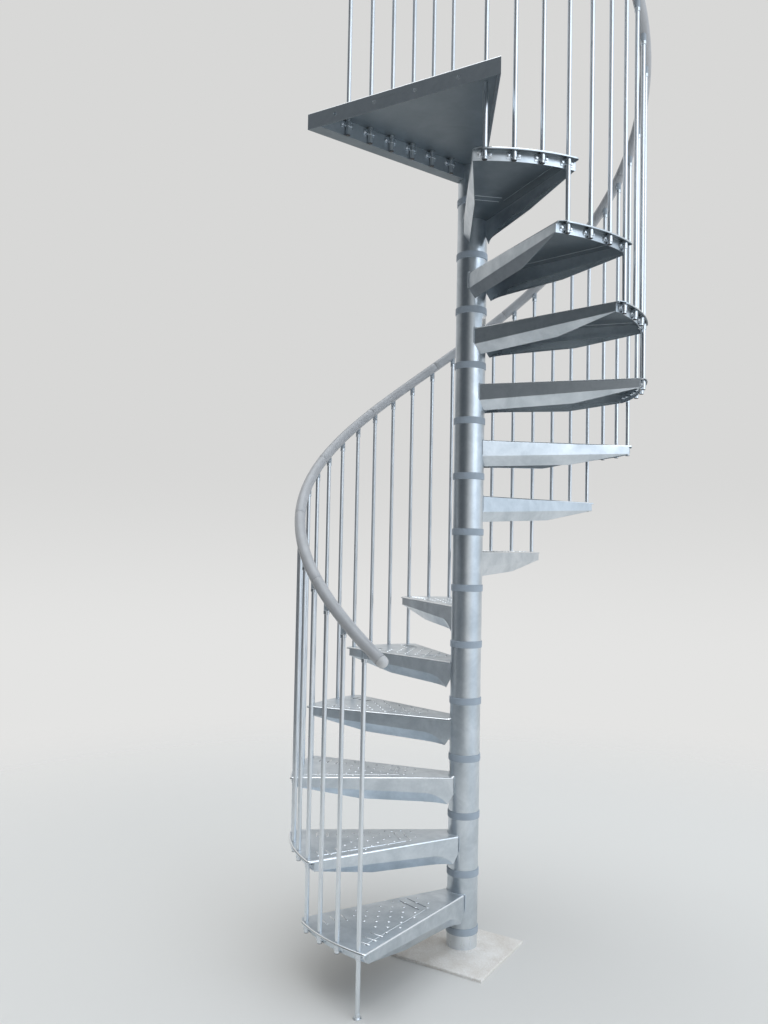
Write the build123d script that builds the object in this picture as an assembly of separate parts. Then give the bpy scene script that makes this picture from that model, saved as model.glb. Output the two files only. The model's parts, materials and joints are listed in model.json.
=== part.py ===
from build123d import *
import math
import os

# Spiral staircase of galvanised pressed treads round a stacked column
# Millimetres, +Z up. The origin is on the column's axis at ground level.
# The stair climbs clockwise seen from above. The landing's front faces -Y.

# Climb
tread_count = 13
step_rise = 220.0
step_angle = 25.1
first_tread_angle = 253.3
landing_angle = 50.2

# Ground slab under the column
slab_side = 380.0
slab_thickness = 10.0
slab_shift = -32.0
slab_edge = 2.0

# Column
hub_diameter = 119.0
hub_wall = 4.0
ring_diameter = 125.0
ring_height = 26.0
ring_drop = 145.0
ring_edge = 2.0
tie_rod_diameter = 24.0
tie_rod_clearance = 0.3
cap_rise = 12.0
cap_lip = 4.0
cap_spigot = 10.0
cap_fit = 0.3

# Pressed treads
sheet = 3.0
tread_radius = 680.0
rim_depth = 8.0
corner_radius = 12.0
nose_margin = 36.0
rear_margin = 40.0
weld_angle = 52.0
strip_depth = 38.0
bend_depth_hub = 65.0
bend_depth_end = 35.0
lip_width = 45.0
lip_width_end = 2.0
lip_angle = 30.0
lip_taper = 245.0
nose_notch_run = 24.0
nose_turn = 90.0
rear_notch_run = 14.0
rib_width = 7.0
rib_height = 2.0
rib_length = 105.0
rib_radius = 253.0
rib_spacing = 37.0
rib_shift = -18.0
nose_rib_inset = 40.0
nose_rib_start = 210.0
nose_rib_end = 30.0

# Landing
landing_reach = 700.0
landing_depth = 60.0
landing_box_inset = 9.0
fixing_hole_diameter = 13.0
fixing_hole_count = 4
fixing_hole_spacing = 160.0
fixing_hole_middle = 50.0

# Balusters, clamps and end caps
baluster_diameter = 16.0
baluster_edge_distance = 16.0
spaces_per_tread = 3
hole_clearance = 0.3
clamp_height = 22.0
clamp_drop = 19.0
clamp_strap = 2.0
clamp_reach = 24.0
clamp_fit = 0.3
end_cap_drop = 2.0
end_cap_length = 8.0
end_cap_wall = 1.0
foot_diameter = 30.0
foot_height = 6.0
baluster_groups = 5
clamp_groups = 3

# Landing railing
landing_baluster_count = 6
landing_baluster_first = 135.0
landing_baluster_pitch = 99.0
landing_rail_overhang = 45.0

# Handrail and its connectors
rail_diameter = 42.4
rail_height = 1005.0
rail_piece_count = 12
rail_lead = 0.65
connector_diameter = 20.0
connector_length = 34.0
connector_sleeve = 14.0
rail_seat_gap = 0.2
rail_cap_length = 30.0
rail_cap_round = 19.0

# Sizes worked out from the ones above
hub_radius = hub_diameter / 2
ring_radius = ring_diameter / 2
baluster_radius = baluster_diameter / 2
rail_radius = rail_diameter / 2
baluster_circle = tread_radius - baluster_edge_distance
half_step = step_angle / 2
baluster_step = step_angle / spaces_per_tread
first_baluster_angle = first_tread_angle + half_step
climb_angle = tread_count * step_angle
landing_nose_angle = first_baluster_angle - climb_angle
landing_rear_angle = landing_nose_angle - landing_angle
landing_level = (tread_count + 1) * step_rise
baluster_standoff = baluster_radius + end_cap_wall + clamp_fit
strip_radius = baluster_circle - baluster_standoff
nose_end_angle = half_step + math.degrees(nose_margin / baluster_circle)
rear_end_angle = half_step + math.degrees(rear_margin / baluster_circle)
hub_foot = -ring_drop + ring_height / 2
hub_height = step_rise - ring_height
rail_slope = math.atan2(step_rise, math.radians(step_angle) * baluster_circle)
rail_underside = rail_radius / math.cos(rail_slope)
baluster_foot = -strip_depth - end_cap_drop + end_cap_wall
far = 3 * tread_radius


def polar(radius, angle, height=0.0):
    """A point at a radius and an angle in degrees about the column."""
    turn = math.radians(angle)
    return Vector(radius * math.cos(turn), radius * math.sin(turn), height)


def tread_level(number):
    """Height of the top of a tread, counted from 1."""
    return number * step_rise


def tread_angle(number):
    """Direction in which a tread points, counted from 1."""
    return first_tread_angle - (number - 1) * step_angle


def baluster_angle(index):
    """Direction of a stair baluster, counted from 0 at the foot of the climb."""
    return first_baluster_angle - index * baluster_step


def rail_level(index):
    """Height of the handrail's centre line over a baluster."""
    return step_rise + index * step_rise / spaces_per_tread + rail_height


def crossing(start, end, radius):
    """Where the straight line through two points leaves a circle about the column."""
    along = (end - start).normalized()
    middle = -start.dot(along)
    foot = start + along * middle
    return foot + along * math.sqrt(radius**2 - foot.length**2)


def vertical_plane(start, end):
    """A plane that stands on a line, with its normal to the right of the line."""
    along = (end - start).normalized()
    return Plane(origin=start, x_dir=along, z_dir=along.cross(Vector(0, 0, 1)))


def bend_level(length, distance):
    """Height of a side flange's straight bend at a distance from its inner end."""
    return (bend_depth_hub - bend_depth_end) * distance / length - bend_depth_hub


def lip_drop(width):
    """How far below its bend a lip of some width reaches."""
    return width * math.cos(math.radians(lip_angle))


def flange_corner(length, notch_run):
    """The lower corner of a side flange beside the hub, at the foot of its slanted end."""
    return Vector(notch_run, bend_level(length, notch_run) - lip_drop(lip_width))


def flange_bend(length, side):
    """The line about which the lip is bent, which on the nose curves down to the corner."""
    inner = Vector(0, bend_level(length, 0))
    tip = Vector(length, bend_level(length, length))
    if side == "rear":
        return Polyline(inner, tip)
    turned = nose_notch_run + nose_turn
    turn = Vector(turned, bend_level(length, turned))
    corner = flange_corner(length, nose_notch_run)
    return TangentArc(turn, corner, tangent=turn - tip) + Polyline(turn, tip)


def below_lip(length, notch_run):
    """The region under a lip's cut edge: slanted at the hub, then straight, then tapered."""
    tapered = length - lip_taper
    past = length + sheet
    start = Vector(0, bend_level(length, 0))
    knee = Vector(tapered, bend_level(length, tapered) - lip_drop(lip_width))
    end_level = bend_level(length, length) - lip_drop(lip_width_end)
    deep = -2 * bend_depth_hub - lip_drop(lip_width)
    return make_face(Polyline(start, flange_corner(length, notch_run), knee, (length, end_level),
                              (past, end_level), (past, deep), (0, deep), close=True))


def flange_lip(start, end, inward, side):
    """The return lip, which slopes down and inward from the bend."""
    length = (end - start).length
    slope = math.radians(lip_angle)
    web_plane = vertical_plane(start, end)
    bend = flange_bend(length, side)
    inner = bend.vertices().sort_by(Axis.X)[0].center()
    tip = bend.vertices().sort_by(Axis.X)[-1].center()
    lift = Vector(0, sheet / math.sin(slope))
    band = make_face(bend + Pos(lift) * bend + Line(tip, tip + lift) + Line(inner, inner + lift))
    way = web_plane.z_dir * inward * math.sin(slope) + Vector(0, 0, -math.cos(slope))
    lip = extrude(web_plane * band, amount=lip_width, dir=way)
    notch_run = nose_notch_run if side == "nose" else rear_notch_run
    return lip - extrude(web_plane * below_lip(length, notch_run), amount=inward * 2 * lip_width)


def side_flange(start, end, side):
    """A turned-down edge of the sheet with its return lip."""
    inward = 1 if side == "nose" else -1
    length = (end - start).length
    bend = flange_bend(length, side)
    inner = bend.vertices().sort_by(Axis.X)[0].center()
    tip = bend.vertices().sort_by(Axis.X)[-1].center()
    edges = Polyline(tip, (length, 0), (0, 0), (0, bend_level(length, 0)))
    if side == "nose":
        edges += Line((0, bend_level(length, 0)), inner)
    web = vertical_plane(start, end) * make_face(bend + edges)
    return extrude(web, amount=inward * sheet) + flange_lip(start, end, inward, side)


def hub_tube():
    """The tube that a tread is welded to, stacked between two rings."""
    section = Circle(hub_radius) - Circle(hub_radius - hub_wall)
    return Pos(0, 0, hub_foot) * extrude(section, amount=hub_height)


def tread_wedge():
    """Plan of a tread's sheet, with its corners rounded."""
    nose_hub = polar(hub_radius, weld_angle)
    rear_hub = polar(hub_radius, -weld_angle)
    nose_tip = crossing(nose_hub, polar(baluster_circle, nose_end_angle), tread_radius)
    rear_tip = crossing(rear_hub, polar(baluster_circle, -rear_end_angle), tread_radius)
    outer = ThreePointArc(rear_tip, (tread_radius, 0), nose_tip)
    sides = Polyline(nose_tip, nose_hub, (0, 0), rear_hub, rear_tip)
    plan = make_face(outer + sides)
    corners = plan.vertices().sort_by(Axis.X)[-2:]
    return fillet(corners, corner_radius)


def hole_row(angles, radius):
    """Round holes for balusters, right through the sheet."""
    hole = Cylinder(baluster_radius + hole_clearance, 4 * sheet)
    return [Pos(*polar(radius, angle)) * hole for angle in angles]


def pressed_rib(length):
    """A rib pressed down in the sheet along X: the ridge under it and the groove on top."""
    ridge = Pos(0, 0, -sheet - rib_height / 2) * Box(length, rib_width + sheet, rib_height)
    groove = Pos(0, 0, -rib_height / 2) * Box(length, rib_width, rib_height)
    return ridge, groove


def tread_ribs(nose_start, nose_end):
    """Places and lengths of a tread's ribs: two across it and one along its nose."""
    ribs = []
    for side in (-0.5, 0.5):
        across = Pos(rib_radius + side * rib_spacing, rib_shift, 0) * Rot(0, 0, 90)
        ribs.append((across, rib_length))
    along = (nose_end - nose_start).normalized()
    inward = along.cross(Vector(0, 0, 1)) * nose_rib_inset
    length = (nose_end - nose_start).length - nose_rib_start - nose_rib_end
    middle = nose_start + along * (nose_rib_start + length / 2) + inward
    turn = math.degrees(math.atan2(along.Y, along.X))
    ribs.append((Pos(middle.X, middle.Y, 0) * Rot(0, 0, turn), length))
    return ribs


def tread():
    """One pressed tread pointing along +X with the top of its sheet at zero."""
    plan = tread_wedge()
    top = extrude(plan, amount=-sheet)
    rim = extrude(plan - offset(plan, amount=-sheet), amount=-rim_depth)
    nose_hub = polar(hub_radius, weld_angle)
    rear_hub = polar(hub_radius, -weld_angle)
    nose_end = crossing(nose_hub, polar(baluster_circle, nose_end_angle), strip_radius)
    rear_end = crossing(rear_hub, polar(baluster_circle, -rear_end_angle), strip_radius)
    nose = side_flange(nose_hub, nose_end, "nose")
    rear = side_flange(rear_hub, rear_end, "rear")
    strip_band = Circle(strip_radius) - Circle(strip_radius - sheet)
    strip = extrude(strip_band & plan, amount=-strip_depth)
    body = top + rim + strip + nose + rear
    for spot, length in tread_ribs(nose_hub, nose_end):
        ridge, groove = pressed_rib(length)
        body = body + spot * ridge - spot * groove
    body -= Cylinder(hub_radius, 4 * bend_depth_hub)
    angles = [half_step - index * baluster_step for index in range(spaces_per_tread + 1)]
    body -= hole_row(angles, baluster_circle)
    return body + hub_tube()


def landing_line(side, inset=0.0):
    """Two points on a side edge of the landing, which may be set in from it."""
    if side == "nose":
        start = polar(hub_radius, landing_nose_angle - half_step + weld_angle)
        end = polar(baluster_circle, landing_nose_angle - half_step + nose_end_angle)
    else:
        start = polar(hub_radius, landing_rear_angle + half_step - weld_angle)
        end = polar(baluster_circle, landing_rear_angle + half_step - rear_end_angle)
    along = (end - start).normalized()
    across = along.cross(Vector(0, 0, 1)) * (inset if side == "nose" else -inset)
    return start + across, end + across


def at_front(start, end, reach):
    """Where a line from the column meets the landing's front."""
    share = (-reach - start.Y) / (end.Y - start.Y)
    return start + (end - start) * share


def landing():
    """The wedge-shaped landing with a box rim on its free side and a drilled front."""
    nose_hub, nose_far = landing_line("nose")
    rear_hub, rear_far = landing_line("rear")
    nose_tip = at_front(nose_hub, nose_far, landing_reach)
    rear_tip = at_front(rear_hub, rear_far, landing_reach)
    plan = make_face(Polyline(nose_hub, nose_tip, rear_tip, rear_hub, (0, 0), close=True))
    body = extrude(plan, amount=-sheet)
    walls = plan - offset(plan, amount=-sheet, kind=Kind.INTERSECTION)
    body += extrude(walls, amount=-landing_depth)
    radial = polar(1.0, landing_rear_angle)
    inner_across = radial.cross(Vector(0, 0, 1)) * -landing_box_inset
    box_start = polar(hub_radius, landing_rear_angle) + inner_across
    box_end = at_front(box_start, box_start + radial, landing_reach)
    box_plan = make_face(Polyline(rear_hub, rear_tip, box_end, box_start, close=True))
    inner_wall = box_plan - offset(box_plan, amount=-sheet, kind=Kind.INTERSECTION)
    body += extrude(inner_wall, amount=-landing_depth)
    body += Pos(0, 0, -landing_depth) * extrude(box_plan, amount=sheet)
    body -= Cylinder(hub_radius, 4 * landing_depth)
    hole = Cylinder(baluster_radius + hole_clearance, 4 * sheet)
    body -= [Pos(point.X, point.Y, 0) * hole for point in landing_baluster_places()]
    body -= hole_row([landing_nose_angle], baluster_circle)
    bolt = Rot(90, 0, 0) * Cylinder(fixing_hole_diameter / 2, 6 * sheet)
    first = fixing_hole_middle - fixing_hole_spacing * (fixing_hole_count - 1) / 2
    for index in range(fixing_hole_count):
        across = first + index * fixing_hole_spacing
        body -= Pos(across, -landing_reach, -landing_depth / 2) * bolt
    return body + hub_tube()


def landing_baluster_places():
    """Feet of the landing's balusters, in a row along its free side."""
    radial = polar(1.0, landing_rear_angle)
    inset = landing_box_inset + baluster_standoff
    across = radial.cross(Vector(0, 0, 1)) * -inset
    return [radial * (landing_baluster_first + index * landing_baluster_pitch) + across
            for index in range(landing_baluster_count)]


def base_slab():
    """The square tile that the column stands on."""
    block = Pos(0, slab_shift, slab_thickness / 2) * Box(slab_side, slab_side, slab_thickness)
    return chamfer(block.faces().sort_by(Axis.Z)[-1].edges(), slab_edge)


def column_foot():
    """The short tube between the slab and the first ring."""
    section = Circle(hub_radius) - Circle(hub_radius - hub_wall)
    height = step_rise + hub_foot - ring_height - slab_thickness
    return Pos(0, 0, slab_thickness) * extrude(section, amount=height)


def spacer_ring():
    """One of the rings that set the rise, bored to fit the tie rod."""
    body = Cylinder(ring_radius, ring_height)
    body = fillet(body.edges().filter_by(GeomType.CIRCLE), ring_edge)
    return body - Cylinder(tie_rod_diameter / 2 + tie_rod_clearance, 2 * ring_height)


def column_cap():
    """The domed lid on top of the column with its spigot in the last tube."""
    lid = Cylinder(hub_radius, cap_lip + cap_rise, align=(Align.CENTER, Align.CENTER, Align.MIN))
    lid = fillet(lid.edges().group_by(Axis.Z)[-1], cap_rise)
    spigot = Cylinder(hub_radius - hub_wall - cap_fit, cap_spigot)
    return lid + Pos(0, 0, -cap_spigot / 2) * spigot


def tie_rod():
    """The threaded rod inside the column that pulls the stack together."""
    top = landing_level + hub_foot + hub_height - cap_spigot
    rod = Cylinder(tie_rod_diameter / 2, top - slab_thickness,
                   align=(Align.CENTER, Align.CENTER, Align.MIN))
    return Pos(0, 0, slab_thickness) * rod


def baluster_rod(foot, head):
    """A baluster between two heights, standing on the origin."""
    rod = Cylinder(baluster_radius, head - foot, align=(Align.CENTER, Align.CENTER, Align.MIN))
    return Pos(0, 0, foot) * rod


def baluster_head(centre):
    """Top end of a baluster, inside the connector under the rail."""
    return centre - rail_underside - connector_length + connector_sleeve


def end_cap():
    """The plastic cap pushed on the lower end of a baluster that ends at zero."""
    outer = Cylinder(baluster_radius + end_cap_wall, end_cap_length)
    bore = Cylinder(baluster_radius, end_cap_length)
    cup = outer - Pos(0, 0, end_cap_wall) * bore
    return Pos(0, 0, end_cap_length / 2 - end_cap_wall) * cup


def ground_foot():
    """The round foot under the first baluster."""
    foot = Cylinder(foot_diameter / 2, foot_height, align=(Align.CENTER, Align.CENTER, Align.MIN))
    return fillet(foot.edges().group_by(Axis.Z)[-1], foot_height / 3)


def clamp():
    """The saddle strap that holds a baluster at the origin to a face on its -X side."""
    face = -baluster_standoff
    outer = baluster_radius + clamp_fit + clamp_strap
    ears = Pos(face + clamp_strap / 2, 0) * Rectangle(clamp_strap, 2 * clamp_reach)
    wrap = Circle(outer) + Pos(face / 2, 0) * Rectangle(-face, 2 * outer)
    section = ears + wrap
    section -= Pos(face - outer, 0) * Rectangle(2 * outer, 4 * outer)
    section -= Circle(baluster_radius + clamp_fit) + Pos(face / 2, 0) * Rectangle(
        -face, 2 * (baluster_radius + clamp_fit))
    return Pos(0, 0, -clamp_drop - clamp_height / 2) * extrude(section, amount=clamp_height)


def connector(slope):
    """The collar on top of a baluster, hollowed to the rail whose centre is at zero."""
    foot = -rail_radius / math.cos(slope) - connector_length
    outer = Cylinder(connector_diameter / 2, connector_length + rail_underside,
                     align=(Align.CENTER, Align.CENTER, Align.MIN))
    bore = Cylinder(baluster_radius, connector_sleeve,
                    align=(Align.CENTER, Align.CENTER, Align.MIN))
    body = Pos(0, 0, foot) * (outer - bore)
    rail = Rot(90 - math.degrees(slope), 0, 0) * Cylinder(rail_radius + rail_seat_gap, far)
    return body - rail


def rail_piece(piece_angle):
    """One moulded length of the handrail, starting over +X at height zero."""
    full_rise = step_rise * 360 / step_angle
    path = Helix(pitch=full_rise, height=full_rise * piece_angle / 360, radius=baluster_circle,
                 lefthand=True)
    start = Plane(origin=path @ 0, z_dir=path % 0)
    return sweep(start * Circle(rail_radius), path=path, is_frenet=True)


def rail_end():
    """The rounded plug on an open end of the rail, pointing along +Z."""
    plug = Cylinder(rail_radius, rail_cap_length, align=(Align.CENTER, Align.CENTER, Align.MIN))
    return fillet(plug.edges().group_by(Axis.Z)[-1], rail_cap_round)


def place(shape, radius, angle, height):
    """A shape carried out to a radius and turned about the column."""
    return Pos(0, 0, height) * Rot(0, 0, angle) * Pos(radius, 0, 0) * shape


def save(name, pieces):
    """Write a sub-part as one file."""
    solids = pieces if isinstance(pieces, list) else [pieces]
    solids = [solid for piece in solids for solid in piece.solids()]
    export_step(Compound(children=solids) if len(solids) > 1 else solids[0], f"parts/{name}.step")


def save_groups(name, pieces, groups):
    """Share like pieces out over a few files, from the foot of the climb up."""
    share = math.ceil(len(pieces) / groups)
    for number in range(groups):
        save(f"{name}_{number + 1}", pieces[number * share:(number + 1) * share])


def build_column():
    """Slab, foot tube, rings, tie rod and cap."""
    save("base_slab", base_slab())
    save("column_foot", column_foot())
    ring = spacer_ring()
    save("spacer_rings", [Pos(0, 0, tread_level(number) - ring_drop) * ring
                          for number in range(1, tread_count + 2)])
    save("tie_rod", tie_rod())
    top = landing_level + hub_foot + hub_height
    save("column_cap", Pos(0, 0, top) * column_cap())


def build_treads():
    """Thirteen treads and the landing."""
    one_tread = tread()
    for number in range(1, tread_count + 1):
        turned = Rot(0, 0, tread_angle(number)) * one_tread
        save(f"tread_{number:02d}", Pos(0, 0, tread_level(number)) * turned)
    save("landing", Pos(0, 0, landing_level) * landing())


def lower_tread(index):
    """The tread whose edge carries the foot of a stair baluster."""
    return max(1, math.ceil(index / spaces_per_tread))


def build_balusters():
    """Stair balusters with their caps, clamps and connectors."""
    count = tread_count * spaces_per_tread + 1
    rods = []
    caps = []
    clamps = []
    heads = []
    cap = end_cap()
    strap = clamp()
    collar = connector(rail_slope)
    for index in range(count):
        angle = baluster_angle(index)
        level = tread_level(lower_tread(index))
        foot = foot_height - level if index == 0 else baluster_foot
        rod = baluster_rod(foot, baluster_head(rail_level(index)) - level)
        rods.append(place(rod, baluster_circle, angle, level))
        if index > 0:
            caps.append(place(Pos(0, 0, baluster_foot) * cap, baluster_circle, angle, level))
        clamps.append(place(strap, baluster_circle, angle, level))
        shared = index % spaces_per_tread == 0 and 0 < index < count - 1
        if shared:
            clamps.append(place(strap, baluster_circle, angle, level + step_rise))
        heads.append(place(collar, baluster_circle, angle, rail_level(index)))
    save_groups("balusters", rods, baluster_groups)
    save_groups("rail_connectors", heads, baluster_groups)
    save_groups("baluster_clamps", clamps, clamp_groups)
    save("baluster_end_caps", caps)
    save("ground_foot", place(ground_foot(), baluster_circle, baluster_angle(0), 0))


def build_landing_rail():
    """The straight railing along the landing's free side."""
    places = landing_baluster_places()
    centre = rail_height
    head = centre - rail_radius - connector_length + connector_sleeve
    foot = -landing_depth - end_cap_drop + end_cap_wall
    rod = baluster_rod(foot, head)
    cap = Pos(0, 0, foot) * end_cap()
    strap = clamp()
    collar = connector(0.0)
    rods = []
    caps = []
    clamps = []
    heads = []
    for point in places:
        spot = Pos(point.X, point.Y, landing_level)
        rods.append(spot * rod)
        caps.append(spot * cap)
        clamps.append(spot * Rot(0, 0, landing_rear_angle + 90) * strap)
        heads.append(spot * Pos(0, 0, centre) * Rot(0, 0, landing_rear_angle + 90) * collar)
    save("landing_balusters", rods)
    save("landing_end_caps", caps)
    save("landing_clamps", clamps)
    save("landing_connectors", heads)
    along = polar(1.0, landing_rear_angle)
    start = places[0] - along * landing_rail_overhang
    length = (places[-1] - places[0]).length + 2 * landing_rail_overhang
    rail_line = Plane(origin=start + Vector(0, 0, landing_level + centre), z_dir=along)
    tube = Cylinder(rail_radius, length, align=(Align.CENTER, Align.CENTER, Align.MIN))
    save("landing_handrail", rail_line * tube)
    plug = rail_end()
    save("landing_rail_ends", [rail_line * Rot(180, 0, 0) * plug,
                               rail_line * Pos(0, 0, length) * plug])


def build_handrail():
    """The moulded handrail in equal lengths, from before the first baluster to the last."""
    last = tread_count * spaces_per_tread
    span = last + 2 * rail_lead
    pieces_angle = span * baluster_step / rail_piece_count
    piece = rail_piece(pieces_angle)
    for number in range(rail_piece_count):
        index = -rail_lead + number * span / rail_piece_count
        turned = Rot(0, 0, baluster_angle(index)) * piece
        save(f"handrail_{number + 1:02d}", Pos(0, 0, rail_level(index)) * turned)
    plug = rail_end()
    ends = []
    for index, way in ((-rail_lead, -1), (last + rail_lead, 1)):
        angle = math.radians(baluster_angle(index))
        level = math.cos(rail_slope)
        climb = Vector(math.sin(angle) * level, -math.cos(angle) * level, math.sin(rail_slope))
        centre = polar(baluster_circle, baluster_angle(index), rail_level(index))
        ends.append(Plane(origin=centre, z_dir=climb * way) * plug)
    save("handrail_ends", ends)


os.makedirs("parts", exist_ok=True)
build_column()
build_treads()
build_balusters()
build_landing_rail()
build_handrail()
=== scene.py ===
import json
import math

import bmesh
import bpy
from bpy.props import FloatProperty, FloatVectorProperty, IntProperty, PointerProperty
from mathutils import Matrix, Vector


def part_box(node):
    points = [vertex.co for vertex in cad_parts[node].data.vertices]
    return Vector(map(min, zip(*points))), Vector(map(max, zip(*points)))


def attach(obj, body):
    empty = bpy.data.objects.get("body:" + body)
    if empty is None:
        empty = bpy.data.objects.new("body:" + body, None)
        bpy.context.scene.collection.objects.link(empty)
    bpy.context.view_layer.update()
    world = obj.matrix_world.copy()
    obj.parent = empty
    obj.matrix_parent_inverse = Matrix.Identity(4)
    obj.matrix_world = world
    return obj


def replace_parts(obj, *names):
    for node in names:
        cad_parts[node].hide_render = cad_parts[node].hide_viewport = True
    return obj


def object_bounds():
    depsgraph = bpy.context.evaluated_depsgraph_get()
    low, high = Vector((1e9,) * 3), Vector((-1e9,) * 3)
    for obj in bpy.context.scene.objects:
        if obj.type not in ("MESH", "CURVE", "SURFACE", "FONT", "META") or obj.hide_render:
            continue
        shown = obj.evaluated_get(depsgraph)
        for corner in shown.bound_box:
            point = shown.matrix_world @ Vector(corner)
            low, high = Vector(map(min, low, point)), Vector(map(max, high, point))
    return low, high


# Finish and small parts of a galvanised spiral staircase. Metres, +Z up, in the frame's own place.

bl_info = {
    "name": "Galvanised spiral staircase",
    "version": (1, 0, 0),
    "blender": (4, 5, 0),
    "location": "View3D > Sidebar > Stair",
    "description": "Dresses the solids of a spiral staircase with its small parts and finishes",
    "category": "Add Mesh",
}

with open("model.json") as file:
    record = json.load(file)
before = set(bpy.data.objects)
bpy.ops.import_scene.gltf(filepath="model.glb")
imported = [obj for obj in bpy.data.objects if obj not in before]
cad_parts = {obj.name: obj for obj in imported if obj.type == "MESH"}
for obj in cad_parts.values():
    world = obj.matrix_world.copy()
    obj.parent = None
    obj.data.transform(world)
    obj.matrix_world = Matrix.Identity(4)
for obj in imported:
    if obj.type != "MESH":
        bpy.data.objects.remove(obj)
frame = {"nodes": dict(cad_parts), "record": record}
CAD_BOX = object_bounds()
MM = 0.001


def linear(colour):
    """An sRGB hex colour as the linear red, green, blue and alpha that Blender takes."""
    channels = [int(colour[start:start + 2], 16) / 255 for start in (1, 3, 5)]
    return tuple(c / 12.92 if c <= 0.04045 else ((c + 0.055) / 1.055) ** 2.4 for c in channels) + (1.0,)


def count_nodes(stem):
    """How many numbered nodes of the frame share a stem."""
    return sum(name.rsplit("_", 1)[0] == stem and name[-1].isdigit() for name in frame["nodes"])


# Climb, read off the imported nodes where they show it
TREADS = count_nodes("tread")
SPACES = 3
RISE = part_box("tread_02")[1].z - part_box("tread_01")[1].z
FOOT = (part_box("ground_foot")[0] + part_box("ground_foot")[1]) / 2
CIRCLE = FOOT.xy.length
FIRST_BALUSTER = math.atan2(FOOT.y, FOOT.x)
STEP_ANGLE = math.radians(25.1)
BALUSTER_STEP = STEP_ANGLE / SPACES
LAST_BALUSTER = TREADS * SPACES
LANDING_LEVEL = (TREADS + 1) * RISE
LANDING_ANGLE = math.radians(50.2)
LANDING_NOSE = FIRST_BALUSTER - TREADS * STEP_ANGLE
LANDING_SIDE = LANDING_NOSE - LANDING_ANGLE
LANDING_REACH = -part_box("landing")[0].y
HUB_RADIUS = (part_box("column_foot")[1].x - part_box("column_foot")[0].x) / 2

# Seats of the small parts on the solids, those of a clamp measured out from the balusters' circle
TREAD_RADIUS = CIRCLE + 16 * MM
NOSE_END_ANGLE = STEP_ANGLE / 2 + 36 * MM / CIRCLE
REAR_END_ANGLE = STEP_ANGLE / 2 + 40 * MM / CIRCLE
WELD_ANGLE = math.radians(52)
FLANGE_WELD = 64 * MM
CLAMP_FACE = -7.3 * MM
CLAMP_DROP = 19 * MM
STRIP_BACK = -12.3 * MM
BALUSTER_RADIUS = 8 * MM
BALUSTER_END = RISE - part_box("baluster_end_caps")[0].z
LANDING_BALUSTERS = 6
LANDING_BALUSTER_FIRST = 135 * MM
LANDING_BALUSTER_PITCH = 99 * MM
LANDING_BALUSTER_INSET = 18.3 * MM
LANDING_BALUSTER_END = LANDING_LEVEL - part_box("landing_end_caps")[0].z

# Handrail and the collars under it, the rail's lead past its last balusters counted in their spaces
RAIL_HEIGHT = 1.005
RAIL_RADIUS = 21.2 * MM
RAIL_LEAD = 0.65
RAIL_PIECES = count_nodes("handrail")
RAIL_SLOPE = math.atan2(RISE, STEP_ANGLE * CIRCLE)
COLLAR_DROP = 34 * MM

# Camera of the photograph, and its frame
CAMERA_PLACE = Vector((1.5525, -3.1306, 1.5535))
CAMERA_HEADING = math.radians(121.865)
CAMERA_PITCH = math.radians(2.221)
CAMERA_ROLL = math.radians(1.09)
FRAME_HEIGHT_PX = 1024
FOCAL_PX = 875.69
SENSOR_MM = 36.0

# Limits for merging points, for taking a face as upright or a point as level, and for smooth shading
MERGE = 0.01 * MM
UPRIGHT = 0.05
LEVEL_SLACK = 0.05 * MM
CREASE = math.radians(32)


def measure(name, description, millimetres):
    """A length for the sidebar, from its size in millimetres."""
    return FloatProperty(name=name, description=description, default=millimetres * MM, subtype="DISTANCE")


def paint(name, description, colour):
    """A colour for the sidebar, from its sRGB hex value."""
    return FloatVectorProperty(name=name, description=description, default=linear(colour)[:3],
                               subtype="COLOR")


class StairSizes(bpy.types.PropertyGroup):
    """Real sizes of the parts that this file adds to the solids."""
    bend: measure("Bend radius", "Outside radius where the tread's sheet is bent", 6)
    lip_bend: measure("Lip bend", "Width of the round where a flange's lip is bent", 1.6)
    rib_bend: measure("Rib bend", "Width of the round along a pressed rib", 1.7)
    edge: measure("Edge break", "Rounding of cut sheet edges under the zinc", 0.6)
    corner_cut: measure("Corner cut", "Length cut off a tread's outer rear corner", 36)
    stud_width: measure("Stud width", "Diameter of a raised anti-slip stud", 11)
    stud_height: measure("Stud height", "How far a stud stands off the tread", 2.2)
    stud_pitch: measure("Stud pitch", "Distance between studs along a row", 64)
    stud_row: measure("Stud row", "Distance between rows of studs", 30)
    bar_length: measure("Bar length", "Length of a raised bar near the tread's end", 52)
    bolt_flats: measure("Bolt head", "Width across the flats of a clamp bolt", 10)
    bolt_offset: measure("Bolt offset", "From a baluster's middle to its clamp bolts", 17.3)
    weld_bead: measure("Weld bead", "Radius of a weld bead at the column", 2.6)
    foot_width: measure("Foot width", "Diameter of the flanged foot", 30)
    foot_height: measure("Foot height", "Height of the flanged foot's socket", 16)
    rail_groove: measure("Rail joint", "Chamfer at each end of a rail piece", 2.2)
    rail_plug: measure("Rail plug", "Length of the plug on the rail's end", 30)
    plug_nose: measure("Plug nose", "Radius round the outer end of the rail's plug", 19)
    rail_sides: IntProperty(name="Rail sides", description="Facets round the handrail", default=40, min=12)


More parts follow.
